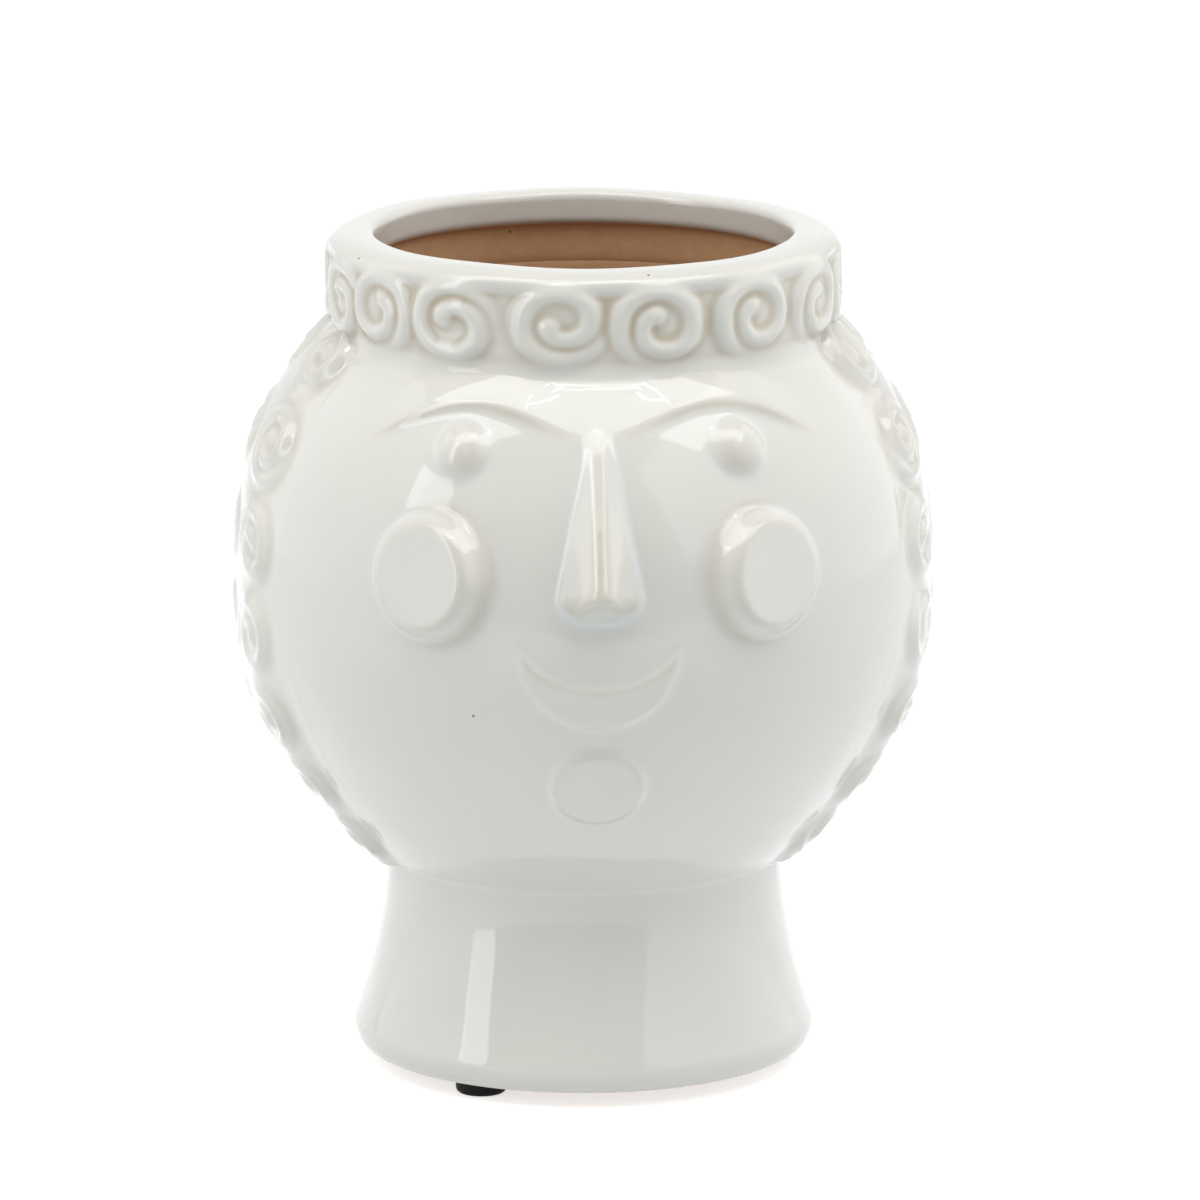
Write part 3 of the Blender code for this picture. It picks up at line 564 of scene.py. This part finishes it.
CURL_FIT = 0.97
WINDOW_TALL, WINDOW_WIDE = 17, 20
hair_runs = spaced([(0, 0.6), (HEAD_END, 1)])
hair_azimuths = np.radians(spaced([(57, 0.56), (303, 9), (417, 1)])[:-1])
sunk = -4.0
hair_height = np.full((len(hair_runs), len(hair_azimuths)), sunk)
for azimuth, run, turn, hand, width, tall in head_curls():
    radius = radius_at(run)
    rows = np.flatnonzero(np.abs(hair_runs - run) < WINDOW_TALL)
    columns = np.flatnonzero(np.abs(hair_azimuths - azimuth) * radius < WINDOW_WIDE)
    window = np.ix_(rows, columns)
    across = (hair_azimuths[columns] - azimuth)[None, :] * radius / (CURL_FIT * width)
    along = (hair_runs[rows] - run)[:, None] / (CURL_FIT * tall)
    x, y = across * np.cos(turn) + along * np.sin(turn), along * np.cos(turn) - across * np.sin(turn)
    share, away = curl_relief(x, y, hand)
    proud = hair_proud(hair_runs[rows])[:, None]
    # Clay fills the curl between its strands, and a cap rounds it off towards the sheet
    fill = proud - 1.6 - 1.75 * smooth_step(away, 4.5, 10.5)
    cap = (1.15 * proud + 0.7) * (1 - smooth_step(away, 5.6, 10.6)) - 0.6
    height = blend_under(blend_over(proud * share, fill, 0.9), cap, 0.5)
    hair_height[window] = blend_over(hair_height[window], height, 0.8)
# The sheet comes out of the head level with it, some degrees in front of the first curls, and 14
# degrees on it is 1 mm under their strands. Low down it is 0.15 mm fuller and 3 degrees sooner up.
off_face = np.degrees(np.minimum(hair_azimuths, 2 * np.pi - hair_azimuths))
low_rows = smooth_step(WIDEST_RUN - hair_runs, 3, 20)[:, None]
sheet = hair_proud(hair_runs)[:, None] - 1.0 + 0.15 * low_rows
past_edge = off_face - (HAIR_EDGE + 4 * smooth_step(hair_runs, 50, 86))[:, None]
ground = sheet * smooth_step(past_edge / (14 - 3 * low_rows), 0, 1) - 0.02
ground = ground - 0.5 * (1 - smooth_step(past_edge, -7, 0.5))
hair_height = evened(blend_over(hair_height, ground, 1.3), 1, 2)
end_slope, end_sunk = 2.2, 1.2
hair_height = np.minimum(hair_height, end_slope * hair_runs[:, None] - end_sunk)
hair_height = np.minimum(hair_height, end_slope * (HEAD_END - hair_runs[:, None]) - end_sunk)
# A plain backing inside the head's wall closes the sheet
BACKING_DEPTH = 3.0
backing_runs = np.linspace(HEAD_END - 2, 2, 10)
front = on_head(hair_azimuths[None, :], hair_runs[:, None], hair_height)
back = on_head(hair_azimuths[None, :], backing_runs[:, None], np.full((len(backing_runs), 1), -BACKING_DEPTH))
# Painted shade darkens the grooves tan, most of all 0.4 mm deep, and the glaze is thin on the ridges
hair_painted_shade = 0.75 * np.clip(hollow(hair_height, 3) / 0.42 - 0.05, 0, 1)
hair_edge = np.clip(-hollow(hair_height, 2) / 0.3 - 0.3, 0, 1)
plain = np.zeros((len(backing_runs), len(hair_azimuths)))
hair_curls = piece_from_grid("hair_curls", np.concatenate([front, back]), True, {
    "painted_shade": np.concatenate([hair_painted_shade, plain]),
    "edge": np.concatenate([0.5 * hair_edge, plain]),
})
hair_curls.data.materials.append(glazed_stoneware)
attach(hair_curls, "root")
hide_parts("pot")

# ------------------------------------------------------------------------------------------------
# Collar: the mould's thick upper ring round the mouth, with a smooth rounded lip over a row of
# larger curls. Its inner side carries the short flange of the mould, where the glaze stops.
# ------------------------------------------------------------------------------------------------
RIM_TOP = 165.0
COLLAR_ENVELOPE = 50.2
COLLAR_CARVED = 2.2
COLLAR_SOFT = 0.5
COLLAR_STRAND = 3.1
COLLAR_CURL_END = 8.3
COLLAR_CURL_HEIGHT = 154.9
COLLAR_CURL_WIDTH = 1.06
COLLAR_CURL_TALL = 0.93
COLLAR_WINDOW = 16
WEB_HEIGHT = 160.9
WEB_RISE = 1.5
WEB_HALF = 6.5
HIDDEN_CURLS = 9
HIDDEN_SPACING = 22.43
# Azimuth, hand and turn of the seven that show, in degrees: the mould's curls are uneven
COLLAR_CURLS = (
    (-73, 1, 20), (-54.5, 1, -45), (-33.3, 1, 45), (-8, -1, -50),
    (13.9, -1, 220), (38.6, -1, 230), (62.7, -1, 200),
)

# Outline from inside the wall, out of the head by a fillet that starts level with it, up the curls'
# ring, over the lip and down the flange
FILLET_START = 140.4
fillet_heights = np.array([139.4, 139.9, 140.4, 140.9, 141.5, 142.1, 142.7, 143.3, 143.9])
leaving = fillet_heights - FILLET_START
fillet_proud = np.where(leaving > 0, 0.036 * leaving ** 2, 0.05 * leaving)
collar_points = [(43.3, 149.6), (46.0, 144.4), (49.5, 139.4), (52.6, 138.6)]
collar_points += list(zip(head_radius(fillet_heights) + fillet_proud, fillet_heights))
collar_points += [
    (49.75, 144.7), (49.75, 145.8), (49.9, 147.6), (COLLAR_ENVELOPE, 150.2), (COLLAR_ENVELOPE, 160.4),
    (49.9, 162.0), (49.1, 163.4), (47.9, 164.3), (46.2, 164.9), (44.2, RIM_TOP), (41.5, RIM_TOP),
    (40.6, 164.6), (40.4, 163.9), (40.4, 159.0), (41.1, 158.3), (42.1, 157.9), (42.3, 156.0),
    (42.4, 152.0), (42.6, 150.6), (43.1, 149.8),
]
collar_outline = softened(collar_points, COLLAR_SOFT)
collar_end = collar_outline[0][-1]
collar_rows = spaced([(0, 2.5), (15, 0.44), (42, 0.6), (60, 0.9), (collar_end, 1)])
collar_azimuths = np.radians(spaced([(-180, 0.52), (180, 1)])[:-1])
row_heights = np.interp(collar_rows, collar_outline[0], collar_outline[2])
curls_round = list(COLLAR_CURLS)
for index in range(HIDDEN_CURLS):
    azimuth = COLLAR_CURLS[-1][0] + (index + 1) * HIDDEN_SPACING
    curls_round.append((azimuth, 1 if index % 2 else -1, index * np.degrees(CURL_TURNING)))
strands = np.full((len(collar_rows), len(collar_azimuths)), -1.0)
for azimuth, hand, turn in curls_round:
    away_azimuth = (collar_azimuths - np.radians(azimuth) + np.pi) % (2 * np.pi) - np.pi
    columns = np.flatnonzero(np.abs(away_azimuth) * COLLAR_ENVELOPE < COLLAR_WINDOW)
    across = away_azimuth[columns][None, :] * COLLAR_ENVELOPE / COLLAR_CURL_WIDTH
    along = (row_heights - COLLAR_CURL_HEIGHT)[:, None] / COLLAR_CURL_TALL
    turn = np.radians(turn)
    x, y = across * np.cos(turn) + along * np.sin(turn), along * np.cos(turn) - across * np.sin(turn)
    share, away = curl_relief(x, y, hand, COLLAR_STRAND, COLLAR_CURL_END)
    share = blend_over(share, 0.5 - 0.7 * smooth_step(away, 5.5, 9.5), 0.4)
    # A web joins the top of each curl to the lip
    web = 0.95 + np.clip((row_heights[:, None] - WEB_HEIGHT) / WEB_RISE, -2, 0.05)
    share = blend_over(share, web - (across / WEB_HALF) ** 2, 0.3)
    strands[:, columns] = blend_over(strands[:, columns], share, 0.3)
strands = evened(blend_over(strands, np.full((1, 1), 0.3), 0.5), 1, 1)
# The carving fades out towards the lip and the fillet, and none of it is on the inner side
carved = (1 - smooth_step(row_heights, 160.2, 163.8)) * smooth_step(row_heights, 142.3, 148)
lip_row = collar_rows[np.argmax(row_heights)]
carved = carved * (collar_rows < lip_row) * (collar_rows > 12)
collar_height = -COLLAR_CARVED * np.clip(1 - strands, 0, 1.2) * carved[:, None]
collar_grid = turned_grid(collar_outline, collar_rows, collar_azimuths, collar_height)
# The lip was wiped by hand, which left it uneven by a few tenths of a millimetre
sponged = 0.10 * (2 + np.sin(3 * collar_azimuths + 0.6) + np.sin(7 * collar_azimuths + 2.1))
collar_grid[..., 2] -= smooth_step(row_heights, 158.5, 164.0)[:, None] * sponged
on_curls = smooth_step(row_heights, 146.0, 149.0) * (1 - smooth_step(row_heights, 159.8, 161.8))
on_curls = (on_curls * (collar_rows < lip_row))[:, None]
# Shade is painted in tan into the hollows between the curls' strands
collar_painted_shade = np.clip(hollow(collar_height, 4) / 0.3 + 0.1, 0, 1) * on_curls
collar_edge = np.clip(-hollow(collar_height, 2) / 0.3 - 0.3, 0, 1)
# The flange's glaze is thin, so some of the clay shows through it, and all of it below its edge
FLANGE_THIN = 0.07
on_flange, below_flange = smooth_step(row_heights, 164.6, 163.8), smooth_step(row_heights, 158.9, 158.2)
inside_share = FLANGE_THIN * on_flange + (1 - FLANGE_THIN) * below_flange
inside_share = inside_share * (collar_rows > lip_row)
collar_curls = piece_from_grid("collar_curls", collar_grid, True, {
    "painted_shade": collar_painted_shade,
    "edge": 0.5 * collar_edge,
    "bare": np.broadcast_to(inside_share[:, None], collar_painted_shade.shape),
})
collar_curls.data.materials.append(glazed_stoneware)
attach(collar_curls, "root")
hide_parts("pot")

# ------------------------------------------------------------------------------------------------
# Pads: three round bumpers of black rubber, moulded with a rounded edge and a shallow dish
# underneath, and stuck under the foot ring by the film on their top.
# ------------------------------------------------------------------------------------------------
# Black moulded rubber: dull, with a fine matt grain from the mould, drawn at 1.1 mm
moulded_rubber = bpy.data.materials.new("black_moulded_rubber")
moulded_rubber.use_nodes = True
tree = moulded_rubber.node_tree
shader = tree.nodes["Principled BSDF"]
place = add_node(tree, "TexCoord").outputs["Object"]
speckle = add_node(tree, "TexNoise", links={"Vector": place, "Scale": 900, "Detail": 3})
black = add_node(tree, "Mix", {"data_type": "RGBA"}, {
    0: speckle.outputs["Fac"], 6: to_linear("#0C0C0C"), 7: to_linear("#191817")})
tree.links.new(black.outputs[2], shader.inputs["Base Color"])
dull = add_node(tree, "MapRange", links={"Value": speckle.outputs["Fac"], "To Min": 0.45, "To Max": 0.7})
tree.links.new(dull.outputs[0], shader.inputs["Roughness"])
matt = add_node(tree, "Bump", links={"Height": speckle.outputs["Fac"], "Strength": 0.3, "Distance": 0.0001})
tree.links.new(matt.outputs[0], shader.inputs["Normal"])
shader.inputs["Specular IOR Level"].default_value = 0.15

PAD_RADIUS = 5.0
PAD_TOP = 2.7
PAD_DISH = 0.12
PAD_SOFT = 0.14
pad_points = [
    (0, PAD_DISH), (2.6, PAD_DISH), (3.0, 0), (4.3, 0), (4.85, 0.5), (PAD_RADIUS, 1.2),
    (PAD_RADIUS, 2.45), (4.8, PAD_TOP), (0, PAD_TOP),
]
pad_outline = softened(pad_points, PAD_SOFT)
pad_rows = spaced([(0, 0.6), (2.2, 0.12), (8.2, 0.9), (pad_outline[0][-1], 1)])
pad_azimuths = np.linspace(-np.pi, np.pi, 96, endpoint=False)
pad_grid = turned_grid(pad_outline, pad_rows, pad_azimuths, np.zeros((1, 1)))
for name, middle in zip(pad_nodes, pad_middles):
    pad = piece_from_grid(name + "_rubber", pad_grid, False, {}, (middle.x, middle.y))
    pad.data.materials.append(moulded_rubber)
    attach(pad, "root")
    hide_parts(name)

# ------------------------------------------------------------------------------------------------
# Studio: a sweep of white card lies under the pot and bends up behind it. Soft lamps stand at both
# sides and overhead, and the air round them is plain white.
# ------------------------------------------------------------------------------------------------
CARD_FRONT, CARD_BACK, CARD_TOP, CARD_BEND = -0.55, 2.4, 3.0, 0.5
CARD_WIDTH = 1.5
sweep_arc = np.radians(np.linspace(0, 90, 17))
sweep_y = np.concatenate([[CARD_FRONT], CARD_BACK - CARD_BEND + CARD_BEND * np.sin(sweep_arc), [CARD_BACK]])
sweep_z = np.concatenate([[0.0], CARD_BEND - CARD_BEND * np.cos(sweep_arc), [CARD_TOP]])
sweep_x = np.array([-CARD_WIDTH / 2, CARD_WIDTH / 2])
sweep_points = np.stack(np.broadcast_arrays(sweep_x[None, :], sweep_y[:, None], sweep_z[:, None]), -1)
number = np.arange(sweep_y.size * 2).reshape(-1, 2)
sweep_mesh = bpy.data.meshes.new("card_sweep")
sweep_faces = np.stack([number[:-1, 0], number[:-1, 1], number[1:, 1], number[1:, 0]], -1)
sweep_mesh.from_pydata(sweep_points.reshape(-1, 3).tolist(), [], sweep_faces.tolist())
sweep_mesh.shade_smooth()
card_sweep = bpy.data.objects.new("card_sweep", sweep_mesh)
bpy.context.scene.collection.objects.link(card_sweep)
white_card = bpy.data.materials.new("white_card")
white_card.use_nodes = True
tree = white_card.node_tree
shader = tree.nodes["Principled BSDF"]
shader.inputs["Base Color"].default_value = to_linear("#DCE1E4")
shader.inputs["Roughness"].default_value = 0.9


def seen_share(tree):
    """1 for a ray that shows the background, straight to the camera, by a gloss or through glass."""
    ray = add_node(tree, "LightPath")
    both = add_node(tree, "Math", {"operation": "ADD"}, {
        0: ray.outputs["Is Camera Ray"], 1: ray.outputs["Is Glossy Ray"]})
    return add_node(tree, "Math", {"operation": "ADD", "use_clamp": True}, {
        0: both.outputs[0], 1: ray.outputs["Is Transmission Ray"]}).outputs[0]


# The card glows, so it reads white to the camera and in the glaze, and still shows the pot's shadow
lift = add_node(tree, "MapRange", links={"Value": seen_share(tree), "To Min": 0.1, "To Max": 0.68})
glow = add_node(tree, "Emission", links={"Color": (1, 1, 1, 1), "Strength": lift.outputs[0]})
card_sum = add_node(tree, "AddShader", links={0: shader.outputs[0], 1: glow.outputs[0]})
tree.links.new(card_sum.outputs[0], tree.nodes["Material Output"].inputs["Surface"])
sweep_mesh.materials.append(white_card)

LAMP_DISTANCE = 1.2
POT_MIDDLE = Vector((0, 0, 0.09))


def soft_lamp(name, azimuth, elevation, width, height, glow_level):
    """Rectangular lamp facing the pot's middle. Its power is its brightness times pi times its area."""
    turn, climb = math.radians(azimuth), math.radians(elevation)
    way = Vector((math.sin(turn) * math.cos(climb), -math.cos(turn) * math.cos(climb), math.sin(climb)))
    data = bpy.data.lights.new(name, "AREA")
    data.shape, data.size, data.size_y = "RECTANGLE", width, height
    data.energy = glow_level * math.pi * width * height
    lamp = bpy.data.objects.new(name, data)
    bpy.context.scene.collection.objects.link(lamp)
    lamp.location = POT_MIDDLE + way * LAMP_DISTANCE
    lamp.rotation_euler = way.to_track_quat("Z", "Y").to_euler()
    lamp.visible_camera = False


# A tall narrow lamp at the left makes the bright stripe on the neck, wide pale walls of light at
# both sides and a broad one overhead fill the rest, and thin tubes draw lines on the forehead
soft_lamp("left_lamp", -60, 15, 0.32, 1.6, 2.7)
soft_lamp("left_wall", -98, 15, 1.5, 1.6, 0.78)
soft_lamp("right_wall", 82, 20, 2.96, 2.1, 0.92)
soft_lamp("top_lamp", -2, 75, 2.0, 0.8, 2.6)
soft_lamp("strip_front", 10, 73, 0.46, 0.010, 24)
soft_lamp("strip_left", -24, 71, 0.010, 0.30, 24)
soft_lamp("strip_right", 44, 71, 0.010, 0.30, 24)

world = bpy.context.scene.world or bpy.data.worlds.new("studio_air")
bpy.context.scene.world = world
world.use_nodes = True
tree = world.node_tree
tree.nodes.clear()
air = add_node(tree, "Background", links={"Color": (1, 1, 1, 1), "Strength": 0.2})
behind = add_node(tree, "Background", links={"Color": (1, 1, 1, 1), "Strength": 1.0})
air_mix = add_node(tree, "MixShader", links={0: seen_share(tree), 1: air.outputs[0], 2: behind.outputs[0]})
add_node(tree, "OutputWorld", links={"Surface": air_mix.outputs[0]})

# The camera stands a little left of the face and above it, 2.1 m away with a long lens, and looks
# at a point 91 mm up and 3 mm to the side of the pot's axis
CAMERA_AZIMUTH, CAMERA_ELEVATION, CAMERA_DISTANCE = math.radians(-2.75), math.radians(12.3), 2.1
CAMERA_AIM_HEIGHT, CAMERA_AIM_ASIDE, CAMERA_LENS = 0.0912, 0.0032, 323.2
camera_back = Vector((math.sin(CAMERA_AZIMUTH) * math.cos(CAMERA_ELEVATION),
                      -math.cos(CAMERA_AZIMUTH) * math.cos(CAMERA_ELEVATION), math.sin(CAMERA_ELEVATION)))
camera_right = Vector((math.cos(CAMERA_AZIMUTH), math.sin(CAMERA_AZIMUTH), 0))
camera_data = bpy.data.cameras.new("camera")
camera_data.sensor_width, camera_data.lens = 36, CAMERA_LENS
camera = bpy.data.objects.new("camera", camera_data)
bpy.context.scene.collection.objects.link(camera)
camera_aim = Vector((0, AXIS_Y / 1000, CAMERA_AIM_HEIGHT)) + camera_right * CAMERA_AIM_ASIDE
camera.location = camera_aim + camera_back * CAMERA_DISTANCE
camera.rotation_euler = camera_back.to_track_quat("Z", "Y").to_euler()
bpy.context.scene.camera = camera
bpy.context.scene.view_settings.view_transform = "Standard"
